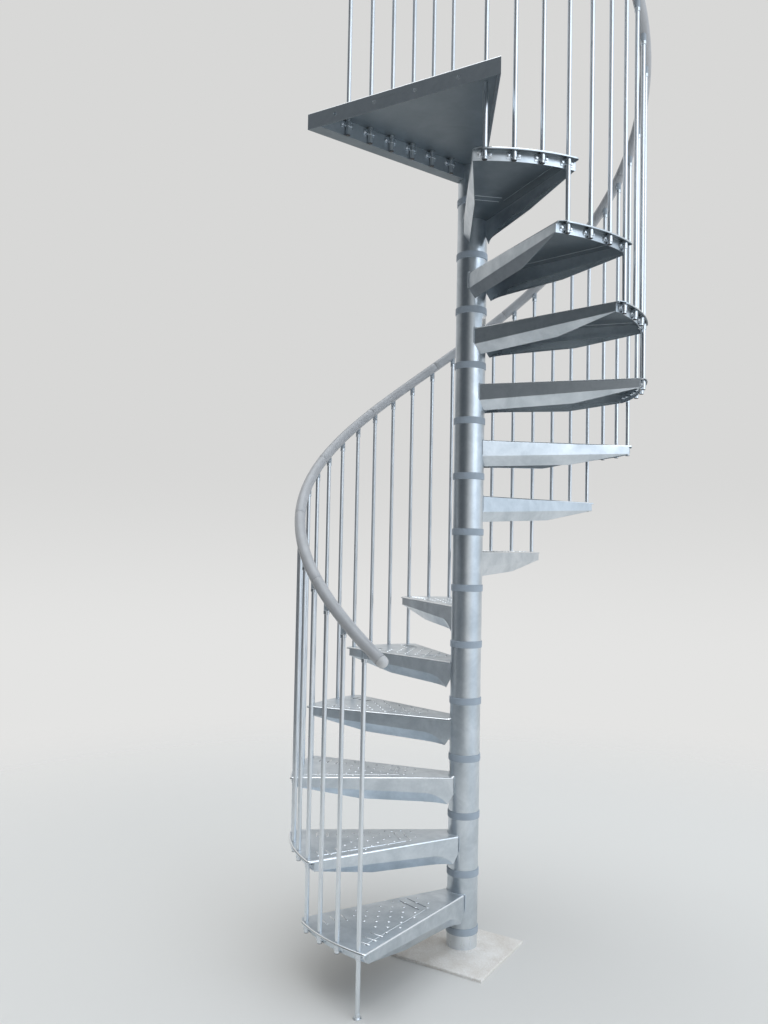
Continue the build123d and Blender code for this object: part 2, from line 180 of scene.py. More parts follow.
class StairColours(bpy.types.PropertyGroup):
    """Colours of the finishes, each from the surface in daylight."""
    zinc_dark: paint("Dull zinc", "Weathered patches of the zinc", "#BCC5CC")
    zinc_light: paint("Bright zinc", "Fresh patches of the zinc", "#DCE3E9")
    zinc_drawn: paint("Tube zinc", "Zinc on smooth drawn tube", "#E9EDF1")
    zinc_highlight: paint("Zinc highlight", "Zinc rubbed bright on the nosings", "#F6F9FB")
    zinc_patina_and_shade: paint("Underside zinc and shade", "Grey patina under the treads", "#5F696F")
    plated: paint("Zinc plate", "Bright plating of clamps and bolts", "#D5DADF")
    ring_grey: paint("Ring grey", "Moulded spacer rings", "#A3AFBB")
    rail_grey: paint("Rail grey", "Moulded handrail", "#B3B5B8")
    plug_grey: paint("Plug grey", "Paler plug on the rail's end", "#C9CACB")
    collar_grey: paint("Collar grey", "Moulded collars under the rail", "#A3ADB6")
    cap_black: paint("Cap black", "Moulded end caps", "#1B1E20")
    tile: paint("Tile", "Tile under the column", "#F3F1EE")
    tile_grain: paint("Tile grain", "Darker grains in the tile", "#C9C1B6")
    floor: paint("Floor", "Studio floor", "#D9D8D5")


def sizes():
    """The sizes set in the sidebar."""
    return bpy.context.scene.stair_sizes


def colours():
    """The colours set in the sidebar."""
    return bpy.context.scene.stair_colours


def opaque(colour):
    """A stored colour with its alpha."""
    return (*colour, 1.0)


# Finishes and their nodes

MIX_FACTOR, MIX_A, MIX_B = 0, 6, 7
MIX_COLOUR = 2
COLOUR_MIX = {"data_type": "RGBA"}
SMOOTH = {"interpolation_type": "SMOOTHSTEP"}


def feed(tree, node, inputs):
    """Link each input of a node from a socket, or set it to a value."""
    for socket, source in inputs.items():
        if isinstance(source, bpy.types.NodeSocket):
            tree.links.new(source, node.inputs[socket])
        else:
            node.inputs[socket].default_value = source


def add_node(tree, kind, settings=None, inputs=None):
    """A node with its settings, its inputs linked or set."""
    node = tree.nodes.new(kind)
    for name, value in (settings or {}).items():
        setattr(node, name, value)
    feed(tree, node, inputs or {})
    return node


def new_material(name):
    """The tree, the shader and the object coordinates of a new material."""
    material = bpy.data.materials.new(name)
    material.use_nodes = True
    tree = material.node_tree
    tree.nodes.clear()
    shader = add_node(tree, "ShaderNodeBsdfPrincipled")
    add_node(tree, "ShaderNodeOutputMaterial", inputs={"Surface": shader.outputs["BSDF"]})
    place = add_node(tree, "ShaderNodeTexCoord").outputs["Object"]
    return tree, shader, place


def per_piece_shade(tree, place):
    """A random shade for each rise of the column, from ring to ring, so that each tread has its own."""
    ring_drop = 145 * MM
    height = add_node(tree, "ShaderNodeSeparateXYZ", inputs={"Vector": place}).outputs["Z"]
    lifted = add_node(tree, "ShaderNodeMath", {"operation": "ADD"}, {0: height, 1: ring_drop}).outputs[0]
    band = add_node(tree, "ShaderNodeMath", {"operation": "DIVIDE"}, {0: lifted, 1: RISE}).outputs[0]
    number = add_node(tree, "ShaderNodeMath", {"operation": "FLOOR"}, {0: band}).outputs[0]
    return add_node(tree, "ShaderNodeTexWhiteNoise", {"noise_dimensions": "1D"},
                    {"W": number}).outputs["Value"]


def zinc_mottle(tree, place, cloud_mm, spangle_mm):
    """Mottling of dipped zinc from 0, dull, to 1, fresh: soft clouds with small crystals in them."""
    crystal_share, piece_share = 0.14, 0.3
    clouds = add_node(tree, "ShaderNodeTexNoise",
                      inputs={"Vector": place, "Scale": 1000 / cloud_mm, "Detail": 6.0,
                              "Roughness": 0.6, "Distortion": 0.5}).outputs["Fac"]
    spread = add_node(tree, "ShaderNodeMapRange",
                      inputs={"Value": clouds, "From Min": 0.32, "From Max": 0.68}).outputs["Result"]
    crystals = add_node(tree, "ShaderNodeTexVoronoi",
                        inputs={"Vector": place, "Scale": 1000 / spangle_mm}).outputs["Color"]
    crystal = add_node(tree, "ShaderNodeSeparateColor", inputs={"Color": crystals}).outputs["Red"]
    mixed = add_node(tree, "ShaderNodeMath", {"operation": "MULTIPLY_ADD"},
                     {0: crystal, 1: crystal_share, 2: spread}).outputs[0]
    shaded = add_node(tree, "ShaderNodeMath", {"operation": "MULTIPLY_ADD"},
                      {0: per_piece_shade(tree, place), 1: piece_share, 2: mixed}).outputs[0]
    return add_node(tree, "ShaderNodeMapRange",
                    inputs={"Value": shaded, "From Min": 0.1, "From Max": 1.3}).outputs["Result"]


def facing_height(tree):
    """How far a surface faces up, from -1 for straight down to 1 for straight up."""
    facing = add_node(tree, "ShaderNodeNewGeometry").outputs["Normal"]
    return add_node(tree, "ShaderNodeSeparateXYZ", inputs={"Vector": facing}).outputs["Z"]


def underside_patina_and_shade(tree, height):
    """How far a surface faces down, where the zinc goes grey with patina and is darkened further as
    painted shade.
    """
    return add_node(tree, "ShaderNodeMapRange", SMOOTH,
                    {"Value": height, "From Min": -0.55, "From Max": -0.95}).outputs["Result"]


def worn_top(tree, height):
    """How metallic the zinc is, less on top, where feet and rain leave a pale bloom."""
    return add_node(tree, "ShaderNodeMapRange", SMOOTH,
                    {"Value": height, "From Min": 0.9, "From Max": 0.99,
                     "To Min": 0.94, "To Max": 0.62}).outputs["Result"]


def bend_highlight(tree, height):
    """Faces that slope up, such as the bends over the nosings and the sides of the studs, for a painted
    highlight; shoes and hands also rub the nosings bright.
    """
    above = add_node(tree, "ShaderNodeMapRange",
                     inputs={"Value": height, "From Min": 0.12, "From Max": 0.4}).outputs["Result"]
    below = add_node(tree, "ShaderNodeMapRange",
                     inputs={"Value": height, "From Min": 0.98, "From Max": 0.9}).outputs["Result"]
    return add_node(tree, "ShaderNodeMath", {"operation": "MULTIPLY"}, {0: above, 1: below}).outputs[0]


def galvanised_sheet():
    """Hot-dip galvanised steel: cloudy zinc with a fine spangle and soft runs, satin, grey underneath from
    patina and painted shade, with a painted highlight on faces that slope up.
    """
    tree, shader, place = new_material("galvanised_sheet_zinc")
    colour = colours()
    cloud_mm, spangle_mm, run_mm = 95, 11, 55
    patina_and_shade_share, patina_dulling, highlight_gloss = 0.88, 0.14, -0.14
    mottle = zinc_mottle(tree, place, cloud_mm, spangle_mm)
    height = facing_height(tree)
    under = underside_patina_and_shade(tree, height)
    bend = bend_highlight(tree, height)
    fresh = add_node(tree, "ShaderNodeMix", COLOUR_MIX,
                     {MIX_FACTOR: mottle, MIX_A: opaque(colour.zinc_dark),
                      MIX_B: opaque(colour.zinc_light)}).outputs[MIX_COLOUR]
    # Painted shade: faces that look down are mixed most of the way to a dark grey, far darker than their
    # patina, as the shade under the treads.
    patina_and_shade = add_node(tree, "ShaderNodeMath", {"operation": "MULTIPLY"},
                      {0: under, 1: patina_and_shade_share}).outputs[0]
    zinc = add_node(tree, "ShaderNodeMix", COLOUR_MIX,
                    {MIX_FACTOR: patina_and_shade, MIX_A: fresh,
                     MIX_B: opaque(colour.zinc_patina_and_shade)}).outputs[MIX_COLOUR]
    # Painted highlight: faces that slope up, the bends over the nosings and the flanks of the studs and
    # ribs, are mixed towards near white; shoes also rub the nosings bright.
    highlighted = add_node(tree, "ShaderNodeMix", COLOUR_MIX,
                      {MIX_FACTOR: bend, MIX_A: zinc,
                       MIX_B: opaque(colour.zinc_highlight)}).outputs[MIX_COLOUR]
    grain = add_node(tree, "ShaderNodeMapRange",
                     inputs={"Value": mottle, "To Min": 0.36, "To Max": 0.28}).outputs["Result"]
    dulled = add_node(tree, "ShaderNodeMath", {"operation": "MULTIPLY_ADD"},
                      {0: under, 1: patina_dulling, 2: grain}).outputs[0]
    roughness = add_node(tree, "ShaderNodeMath", {"operation": "MULTIPLY_ADD"},
                         {0: bend, 1: highlight_gloss, 2: dulled}).outputs[0]
    runs = add_node(tree, "ShaderNodeTexNoise",
                    inputs={"Vector": place, "Scale": 1000 / run_mm, "Detail": 2.0}).outputs["Fac"]
    relief = add_node(tree, "ShaderNodeBump",
                      inputs={"Height": runs, "Strength": 0.35, "Distance": 1.2 * MM}).outputs["Normal"]
    feed(tree, shader, {"Base Color": highlighted, "Metallic": worn_top(tree, height),
                        "Roughness": roughness, "Normal": relief})


def galvanised_tube():
    """Galvanised drawn tube: even bright zinc, smoother than the sheet, with faint runs along the tube."""
    tree, shader, place = new_material("galvanised_tube_zinc")
    colour = colours()
    cloud_mm, spangle_mm, run_mm, run_length_mm = 150, 16, 9, 160
    mottle = zinc_mottle(tree, place, cloud_mm, spangle_mm)
    stretched = add_node(tree, "ShaderNodeMapping",
                         inputs={"Vector": place, "Scale": (1000 / run_mm, 1000 / run_mm,
                                                            1000 / run_length_mm)}).outputs["Vector"]
    runs = add_node(tree, "ShaderNodeTexNoise",
                    inputs={"Vector": stretched, "Scale": 1.0, "Detail": 2.0}).outputs["Fac"]
    zinc = add_node(tree, "ShaderNodeMix", COLOUR_MIX,
                    {MIX_FACTOR: mottle, MIX_A: opaque(colour.zinc_light),
                     MIX_B: opaque(colour.zinc_drawn)}).outputs[MIX_COLOUR]
    roughness = add_node(tree, "ShaderNodeMapRange",
                         inputs={"Value": runs, "To Min": 0.34, "To Max": 0.24}).outputs["Result"]
    relief = add_node(tree, "ShaderNodeBump",
                      inputs={"Height": runs, "Strength": 0.1, "Distance": 0.3 * MM}).outputs["Normal"]
    feed(tree, shader, {"Base Color": zinc, "Metallic": 0.95, "Roughness": roughness, "Normal": relief})


def zinc_plate():
    """Electroplated zinc on clamps and bolts: near white, thin and bright, with fine scratches."""
    tree, shader, place = new_material("zinc_plated_steel")
    colour = colours()
    scratch_mm = 3
    scratches = add_node(tree, "ShaderNodeTexNoise",
                         inputs={"Vector": place, "Scale": 1000 / scratch_mm,
                                 "Detail": 4.0}).outputs["Fac"]
    share = add_node(tree, "ShaderNodeMapRange",
                     inputs={"Value": scratches, "From Min": 0.35, "From Max": 0.65}).outputs["Result"]
    zinc = add_node(tree, "ShaderNodeMix", COLOUR_MIX,
                    {MIX_FACTOR: share, MIX_A: opaque(colour.zinc_light),
                     MIX_B: opaque(colour.plated)}).outputs[MIX_COLOUR]
    roughness = add_node(tree, "ShaderNodeMapRange",
                         inputs={"Value": scratches, "To Min": 0.34, "To Max": 0.18}).outputs["Result"]
    feed(tree, shader, {"Base Color": zinc, "Metallic": 1.0, "Roughness": roughness})


def weld_zinc():
    """Zinc over a weld: duller and rougher than the sheet, with heat clouds."""
    tree, shader, place = new_material("weld_under_zinc")
    colour = colours()
    cloud_mm = 14
    clouds = add_node(tree, "ShaderNodeTexNoise",
                      inputs={"Vector": place, "Scale": 1000 / cloud_mm, "Detail": 4.0}).outputs["Fac"]
    zinc = add_node(tree, "ShaderNodeMix", COLOUR_MIX,
                    {MIX_FACTOR: clouds, MIX_A: opaque(colour.zinc_dark),
                     MIX_B: opaque(colour.zinc_light)}).outputs[MIX_COLOUR]
    relief = add_node(tree, "ShaderNodeBump",
                      inputs={"Height": clouds, "Strength": 0.4, "Distance": 1 * MM}).outputs["Normal"]
    feed(tree, shader, {"Base Color": zinc, "Metallic": 0.8, "Roughness": 0.5, "Normal": relief})


def moulded_plastic(name, colour, smoothest, roughest, variation=0.12):
    """Moulded polymer: an even colour with faint flow clouds and a fine skin that breaks the gloss."""
    tree, shader, place = new_material(name)
    cloud_mm, skin_mm = 60, 2
    clouds = add_node(tree, "ShaderNodeTexNoise",
                      inputs={"Vector": place, "Scale": 1000 / cloud_mm, "Detail": 4.0}).outputs["Fac"]
    skin = add_node(tree, "ShaderNodeTexNoise",
                    inputs={"Vector": place, "Scale": 1000 / skin_mm, "Detail": 2.0}).outputs["Fac"]
    deep = tuple(channel * (1 - variation) for channel in colour)
    pale = tuple(min(1.0, channel * (1 + variation)) for channel in colour)
    tone = add_node(tree, "ShaderNodeMix", COLOUR_MIX,
                    {MIX_FACTOR: clouds, MIX_A: opaque(deep), MIX_B: opaque(pale)}).outputs[MIX_COLOUR]
    roughness = add_node(tree, "ShaderNodeMapRange",
                         inputs={"Value": skin, "To Min": smoothest,
                                 "To Max": roughest}).outputs["Result"]
    relief = add_node(tree, "ShaderNodeBump",
                      inputs={"Height": skin, "Strength": 0.08, "Distance": 0.4 * MM}).outputs["Normal"]
    feed(tree, shader, {"Base Color": tone, "Roughness": roughness, "IOR": 1.49, "Normal": relief})


def stone_tile():
    """Unglazed stoneware tile: pale, gritty and matt, with darker grains."""
    tree, shader, place = new_material("stoneware_tile")
    colour = colours()
    grain_mm, cloud_mm = 3, 90
    grains = add_node(tree, "ShaderNodeTexVoronoi",
                      inputs={"Vector": place, "Scale": 1000 / grain_mm}).outputs["Distance"]
    clouds = add_node(tree, "ShaderNodeTexNoise",
                      inputs={"Vector": place, "Scale": 1000 / cloud_mm, "Detail": 5.0}).outputs["Fac"]
    speck = add_node(tree, "ShaderNodeMath", {"operation": "MULTIPLY"}, {0: grains, 1: clouds}).outputs[0]
    share = add_node(tree, "ShaderNodeMapRange",
                     inputs={"Value": speck, "From Min": 0.05, "From Max": 0.4}).outputs["Result"]
    stone = add_node(tree, "ShaderNodeMix", COLOUR_MIX,
                     {MIX_FACTOR: share, MIX_A: opaque(colour.tile_grain),
                      MIX_B: opaque(colour.tile)}).outputs[MIX_COLOUR]
    relief = add_node(tree, "ShaderNodeBump",
                      inputs={"Height": grains, "Strength": 0.25, "Distance": 0.6 * MM}).outputs["Normal"]
    feed(tree, shader, {"Base Color": stone, "Roughness": 0.72, "IOR": 1.5, "Normal": relief})


def finishes():
    """Every finish by the record's slot name, made once."""
    if "galvanised_sheet_zinc" not in bpy.data.materials:
        tint = colours()
        galvanised_sheet()
        galvanised_tube()
        zinc_plate()
        weld_zinc()
        stone_tile()
        moulded_plastic("ring_nylon", tint.ring_grey, 0.42, 0.6)
        moulded_plastic("rail_vinyl", tint.rail_grey, 0.18, 0.3, variation=0.18)
        moulded_plastic("plug_vinyl", tint.plug_grey, 0.2, 0.34)
        moulded_plastic("collar_nylon", tint.collar_grey, 0.4, 0.6)
        moulded_plastic("cap_polythene", tint.cap_black, 0.4, 0.6)
    names = {
        "galvanised_sheet": "galvanised_sheet_zinc",
        "galvanised_tube": "galvanised_tube_zinc",
        "zinc_plated_clamp": "zinc_plated_steel",
        "threaded_rod": "zinc_plated_steel",
        "ring_plastic": "ring_nylon",
        "rail_plastic": "rail_vinyl",
        "rail_plug": "plug_vinyl",
        "connector_plastic": "collar_nylon",
        "black_plastic": "cap_polythene",
        "slab_ceramic": "stoneware_tile",
        "weld": "weld_under_zinc",
    }
    return {slot: bpy.data.materials[name] for slot, name in names.items()}


class STAIR_OT_finish_solids(bpy.types.Operator):
    """Give every solid of the frame the finish of its record slot"""
    bl_idname = "stair.finish_solids"
    bl_label = "Finish the solids"

    def execute(self, context):
        materials = finishes()
        for part in frame["record"]["subparts"]:
            mesh = frame["nodes"][part["node"]].data
            mesh.materials.clear()
            mesh.materials.append(materials[part["material_slot"]])
        return {"FINISHED"}


# Making and placing of pieces

def make_piece(name, bm, slot, finish=None):
    """A finished mesh that rides on the stair, with its record slot and its smooth and sharp edges set."""
    mesh = bpy.data.meshes.new(name)
    bm.to_mesh(mesh)
    bm.free()
    mesh.polygons.foreach_set("use_smooth", [True] * len(mesh.polygons))
    mesh.set_sharp_from_angle(angle=CREASE)
    mesh.materials.append(finishes()[finish or slot])
    piece = bpy.data.objects.new(name, mesh)
    bpy.context.scene.collection.objects.link(piece)
    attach(piece, "root")
    return piece


def template(build):
    """The mesh of a small part about the origin, ready to be repeated."""
    bm = bmesh.new()
    build(bm)
    bmesh.ops.remove_doubles(bm, verts=bm.verts, dist=MERGE)
    bmesh.ops.recalc_face_normals(bm, faces=bm.faces)
    mesh = bpy.data.meshes.new("template")
    bm.to_mesh(mesh)
    bm.free()
    return mesh


def make_copies(name, build, places, slot, finish=None):
    """A piece that holds a small part, built about the origin, at each place."""
    mesh = template(build)
    bm = bmesh.new()
    for place in places:
        start = len(bm.verts)
        bm.from_mesh(mesh)
        bm.verts.ensure_lookup_table()
        bmesh.ops.transform(bm, matrix=place, verts=bm.verts[start:])
    bpy.data.meshes.remove(mesh)
    return make_piece(name, bm, slot, finish)


def lathe(bm, profile, sides):
    """Turn a profile of radius and height pairs about Z into a closed shape."""
    verts = [bm.verts.new((radius, 0, height)) for radius, height in profile]
    edges = [bm.edges.new(pair) for pair in zip(verts, verts[1:])]
    bmesh.ops.spin(bm, geom=verts + edges, cent=(0, 0, 0), axis=(0, 0, 1), angle=math.tau,
                   steps=sides, use_merge=True)
    bmesh.ops.remove_doubles(bm, verts=bm.verts, dist=MERGE / 10)


def scaled(outline, radius, height):
    """An outline given in shares of a radius and a height, at its real size."""
    return [(radius * out, height * up) for out, up in outline]


def ray(angle, radius=1.0):
    """The level point at an angle and a radius from the column's axis."""
    return Vector((radius * math.cos(angle), radius * math.sin(angle), 0))


def turned(angle, radius=0.0, height=0.0):
    """A place at a radius, an angle and a height about the column, facing outwards."""
    return (Matrix.Translation((0, 0, height)) @ Matrix.Rotation(angle, 4, "Z")
            @ Matrix.Translation((radius, 0, 0)))


def tread_place(number):
    """A tread's own place: X along it and Z up from the top of its sheet."""
    return turned(FIRST_BALUSTER - STEP_ANGLE / 2 - (number - 1) * STEP_ANGLE, height=number * RISE)


def baluster_angle(index):
    """Direction of a stair baluster, counted from 0 at the foot of the climb."""
    return FIRST_BALUSTER - index * BALUSTER_STEP


def baluster_levels(index):
    """Numbers of the treads whose edge a baluster passes: one, or two where a nosing meets a rear."""
    lowest = max(1, math.ceil(index / SPACES))
    shared = index % SPACES == 0 and 0 < index < LAST_BALUSTER
    return [lowest, lowest + 1] if shared else [lowest]


def clamp_place(index, level):
    """The place of the clamp that holds a baluster to a tread."""
    return turned(baluster_angle(index), CIRCLE, level * RISE)


def clamp_places():
    """The place of every clamp on the stair."""
    return [clamp_place(index, level) for index in range(LAST_BALUSTER + 1)
            for level in baluster_levels(index)]


def landing_clamp_places():
    """The place of every clamp along the landing's free side."""
    along = ray(LANDING_SIDE)
    outward = along.cross(Vector((0, 0, 1))) * -LANDING_BALUSTER_INSET
    turn = Matrix.Rotation(LANDING_SIDE + math.pi / 2, 4, "Z")
    places = []
    for index in range(LANDING_BALUSTERS):
        spot = along * (LANDING_BALUSTER_FIRST + index * LANDING_BALUSTER_PITCH) + outward
        places.append(Matrix.Translation((spot.x, spot.y, LANDING_LEVEL)) @ turn)
    return places


def rail_level(index):
    """Height of the handrail's centre line over a baluster."""
    return RISE + index * RISE / SPACES + RAIL_HEIGHT


def rail_place(index):
    """The place on the handrail's centre line over a baluster, with Z along the climbing rail."""
    lean = Matrix.Rotation(math.pi / 2 - RAIL_SLOPE, 4, "X")
    return turned(baluster_angle(index), CIRCLE, rail_level(index)) @ lean


# Formed sheet

def tidy_copy(node):
    """A copy of a node's mesh with its loose triangles merged into whole flat faces."""
    flat = math.radians(0.5)
    bm = bmesh.new()
    bm.from_mesh(frame["nodes"][node].data)
    bmesh.ops.remove_doubles(bm, verts=bm.verts, dist=MERGE * 2)
    bmesh.ops.dissolve_limit(bm, angle_limit=flat, use_dissolve_boundaries=False, verts=bm.verts,
                             edges=bm.edges)
    bm.normal_update()
    return bm


def upright_walls(edge):
    """The upright faces that meet at an edge."""
    return [face for face in edge.link_faces if abs(face.normal.z) < UPRIGHT]


def top_edges(bm, level, least_depth, most_depth):
    """Outer edges of a sheet's top over one upright wall whose depth lies between two limits."""
    edges = []
    for edge in bm.edges:
        flush = all(abs(vert.co.z - level) < LEVEL_SLACK for vert in edge.verts)
        walls = upright_walls(edge)
        if flush and edge.is_convex and len(walls) == 1:
            depth = level - min(vert.co.z for vert in walls[0].verts)
            if least_depth < depth < most_depth:
                edges.append(edge)
    return edges


def lip_edges(bm):
    """Outer edges where a flange's lip is bent in from its upright web."""
    least_turn, most_turn, least_length = math.radians(12), math.radians(60), 4 * MM
    edges = []
    for edge in bm.edges:
        lips = [face for face in edge.link_faces if -0.9 < face.normal.z < -0.1]
        bent = least_turn < edge.calc_face_angle(0) < most_turn and edge.is_convex
        if bent and lips and upright_walls(edge) and edge.calc_length() > least_length:
            edges.append(edge)
    return edges


def round_edges(bm, edges, width, segments):
    """Round some edges of a mesh."""
    bmesh.ops.bevel(bm, geom=edges, offset=width, offset_type="OFFSET", segments=segments, profile=0.5,
                    affect="EDGES", material=-1, clamp_overlap=False, loop_slide=True)
    bm.normal_update()


def break_edges(bm, width):
    """Round every cut edge a little, as the zinc does."""
    least_turn = math.radians(50)
    sharp = [edge for edge in bm.edges if edge.is_convex and edge.calc_face_angle(0) > least_turn]
    round_edges(bm, sharp, width, segments=2)


def cut_rear_corner(bm, number, length):
    """Cut a tread's outer rear corner off, from its side edge to a point in along its round end."""
    side = ray(-REAR_END_ANGLE, CIRCLE + 1 * MM)
    end = ray(length / TREAD_RADIUS - REAR_END_ANGLE, TREAD_RADIUS)
    out = (end - side).cross(Vector((0, 0, 1))).normalized()
    turn = tread_place(number).to_3x3()
    cut = bmesh.ops.bisect_plane(bm, geom=bm.verts[:] + bm.edges[:] + bm.faces[:], dist=MERGE,
                                 plane_co=turn @ side, plane_no=turn @ out, clear_outer=True)
    rim = [item for item in cut["geom_cut"] if isinstance(item, bmesh.types.BMEdge)]
    bmesh.ops.holes_fill(bm, edges=rim, sides=0)
    bm.normal_update()


def flatten_shading(piece):
    """Keep flat faces flat to the eye between rounded edges."""
    weights = piece.modifiers.new("even_faces", "WEIGHTED_NORMAL")
    weights.mode = "FACE_AREA"
    weights.keep_sharp = True


class STAIR_OT_form_sheet(bpy.types.Operator):
    """Form the treads and the landing as bent sheet, with round bends and broken edges"""
    bl_idname = "stair.form_sheet"
    bl_label = "Form the sheet metal"

    def execute(self, context):
        size = sizes()
        wall_depth, rib_depth = 7 * MM, 2.5 * MM
        for number in range(1, TREADS + 2):
            node = f"tread_{number:02d}" if number <= TREADS else "landing"
            level = number * RISE
            bm = tidy_copy(node)
            folds = top_edges(bm, level, wall_depth, math.inf)
            ribs = top_edges(bm, level, 0, rib_depth)
            round_edges(bm, lip_edges(bm), size.lip_bend, segments=3)
            round_edges(bm, folds, size.bend, segments=8)
            round_edges(bm, ribs, size.rib_bend, segments=3)
            if number <= TREADS:
                cut_rear_corner(bm, number, size.corner_cut)
            break_edges(bm, size.edge)
            piece = make_piece(f"formed_{node}", bm, "galvanised_sheet")
            flatten_shading(piece)
            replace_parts(piece, node)
        return {"FINISHED"}


# Anti-slip pattern

def stud(bm):
    """A raised round stud with a domed top, pressed up from the sheet."""
    size = sizes()
    radius, height, foot = size.stud_width / 2, size.stud_height, -0.2 * MM
    dome = [(0.86, 0.35), (0.62, 0.78), (0.34, 0.96), (0, 1)]
    lathe(bm, [(radius, foot)] + scaled(dome, radius, height), sides=12)


def bar(bm):
    """A raised bar with round ends, made from a stud stretched along Y."""
    slim, low = 0.8, 0.9
    size = sizes()
    half = size.bar_length / 2 - size.stud_width / 4
    stud(bm)
    bmesh.ops.scale(bm, vec=(slim, slim, low), verts=bm.verts)
    for way in (-1, 1):
        side = [vert for vert in bm.verts if vert.co.y * way > MERGE]
        bmesh.ops.translate(bm, vec=(0, way * half, 0), verts=side)


def edge_line(along, end_angle):
    """How far a tread's straight edge has spread from its middle line at a distance along the tread."""
    start = ray(WELD_ANGLE, HUB_RADIUS)
    end = ray(end_angle, CIRCLE)
    return start.y + (end.y - start.y) * (along - start.x) / (end.x - start.x)


def stud_spots():
    """Middle points of a tread's studs, in staggered rows that follow the tread."""
    size = sizes()
    first_along, last_along, first_row, rows, margin = 200 * MM, 500 * MM, -107 * MM, 8, 28 * MM
    spots = []
    for row in range(rows):
        across = first_row + row * size.stud_row
        along = first_along + (size.stud_pitch / 2 if row % 2 else 0)
        while along <= last_along:
            rear, nose = edge_line(along, REAR_END_ANGLE), edge_line(along, NOSE_END_ANGLE)
            if margin - rear < across < nose - margin:
                spots.append((along, across))
            along += size.stud_pitch
    return spots


def landing_stud_spots():
    """Middle points of the landing's studs, in staggered rows across its wedge."""
    size = sizes()
    side, nose = ray(LANDING_SIDE), ray(LANDING_NOSE)
    side_margin, nose_margin, front_margin, hub_margin = 55 * MM, 25 * MM, 45 * MM, 110 * MM
    half_columns, rows = 10, 22
    spots = []
    for row in range(rows):
        y = front_margin - LANDING_REACH + row * size.stud_row
        shift = size.stud_pitch / 2 if row % 2 else 0
        for column in range(-half_columns, half_columns + 1):
            spot = Vector((column * size.stud_pitch + shift, y, 0))
            inside = side.cross(spot).z > side_margin and spot.cross(nose).z > nose_margin
            if inside and spot.length > HUB_RADIUS + hub_margin:
                spots.append(spot)
    return spots


def bar_places(tread):
    """The places of a tread's raised bars: rows across its outer end, slanted with its two edges."""
    slant, middle = math.radians(12), 4 * MM
    rows = [(525 * MM, 88 * MM), (563 * MM, 100 * MM), (600 * MM, 108 * MM)]
    return [tread @ Matrix.Translation((along, middle + side * spread, 0))
            @ Matrix.Rotation(side * slant, 4, "Z") for side in (1, -1) for along, spread in rows]


class STAIR_OT_raise_studs(bpy.types.Operator):
    """Raise the anti-slip studs and bars on the treads and the landing"""
    bl_idname = "stair.raise_studs"
    bl_label = "Raise the anti-slip studs"

    def execute(self, context):
        treads = [tread_place(number) for number in range(1, TREADS + 1)]
        studs = [tread @ Matrix.Translation((*spot, 0)) for tread in treads for spot in stud_spots()]
        studs += [Matrix.Translation((spot.x, spot.y, LANDING_LEVEL)) for spot in landing_stud_spots()]
        make_copies("tread_studs", stud, studs, "galvanised_sheet")
        bars = [place for tread in treads for place in bar_places(tread)]
        make_copies("tread_bars", bar, bars, "galvanised_sheet")
        return {"FINISHED"}


# Bolts of the clamps

def hex_prism(bm, flats, low, high):
    """A hexagon across its flats between two heights, with its outer corners chamfered."""
    radius, chamfer = flats / 2 / math.cos(math.pi / 6), flats * 0.07
    made = bmesh.ops.create_cone(bm, cap_ends=True, segments=6, radius1=radius, radius2=radius,
                                 depth=high - low,
                                 matrix=Matrix.Translation((0, 0, (low + high) / 2)))
    rim = [edge for edge in {edge for vert in made["verts"] for edge in vert.link_edges}
           if all(vert.co.z > high - MERGE for vert in edge.verts)]
    bmesh.ops.bevel(bm, geom=rim, offset=chamfer, segments=2, profile=0.5, affect="EDGES", material=-1,
                    clamp_overlap=True)


def clamp_bolt(bm):
    """A washer and a hexagon head that stand on the plane Z = 0."""
    flats = sizes().bolt_flats
    washer, thick, head = flats * 0.62, 1.4 * MM, flats * 0.42
    disc = [(0, 0), (1, 0), (1, 0.7), (0.95, 1), (0, 1)]
    lathe(bm, scaled(disc, washer, thick), sides=20)
    hex_prism(bm, flats, thick, thick + head)


def clamp_nut(bm):
    """A nut and the end of its bolt, standing on the plane Z = 0."""
    flats = sizes().bolt_flats
    nut, shank, overlap, chamfer = flats * 0.5, flats * 0.3, 1 * MM, 0.8 * MM
    end = nut + 3.2 * MM
    hex_prism(bm, flats, 0, nut)
    lathe(bm, [(0, nut - overlap), (shank, nut - overlap), (shank, end - chamfer), (shank * 0.8, end),
               (0, end)], sides=14)


class STAIR_OT_bolt_clamps(bpy.types.Operator):
    """Bolt every clamp to its tread, with heads outside and nuts inside the edge strip"""
    bl_idname = "stair.bolt_clamps"
    bl_label = "Bolt the clamps"

    def execute(self, context):
        offset = sizes().bolt_offset
        outward = Matrix.Rotation(math.pi / 2, 4, "Y")
        inward = Matrix.Rotation(-math.pi / 2, 4, "Y")
        heads = [place @ Matrix.Translation((CLAMP_FACE, side, -CLAMP_DROP)) @ outward
                 for place in clamp_places() + landing_clamp_places() for side in (-offset, offset)]
        nuts = [place @ Matrix.Translation((STRIP_BACK, side, -CLAMP_DROP)) @ inward
                for place in clamp_places() for side in (-offset, offset)]
        make_copies("clamp_bolt_heads", clamp_bolt, heads, "zinc_plated_clamp")
        make_copies("clamp_nuts", clamp_nut, nuts, "zinc_plated_clamp")
        return {"FINISHED"}


# Welds at the column

def weld_ripple(bm):
    """One ripple of a weld bead."""
    squeeze = 0.75
    bmesh.ops.create_uvsphere(bm, u_segments=8, v_segments=6, radius=sizes().weld_bead)
    bmesh.ops.scale(bm, vec=(1.0, squeeze, 1.0), verts=bm.verts)


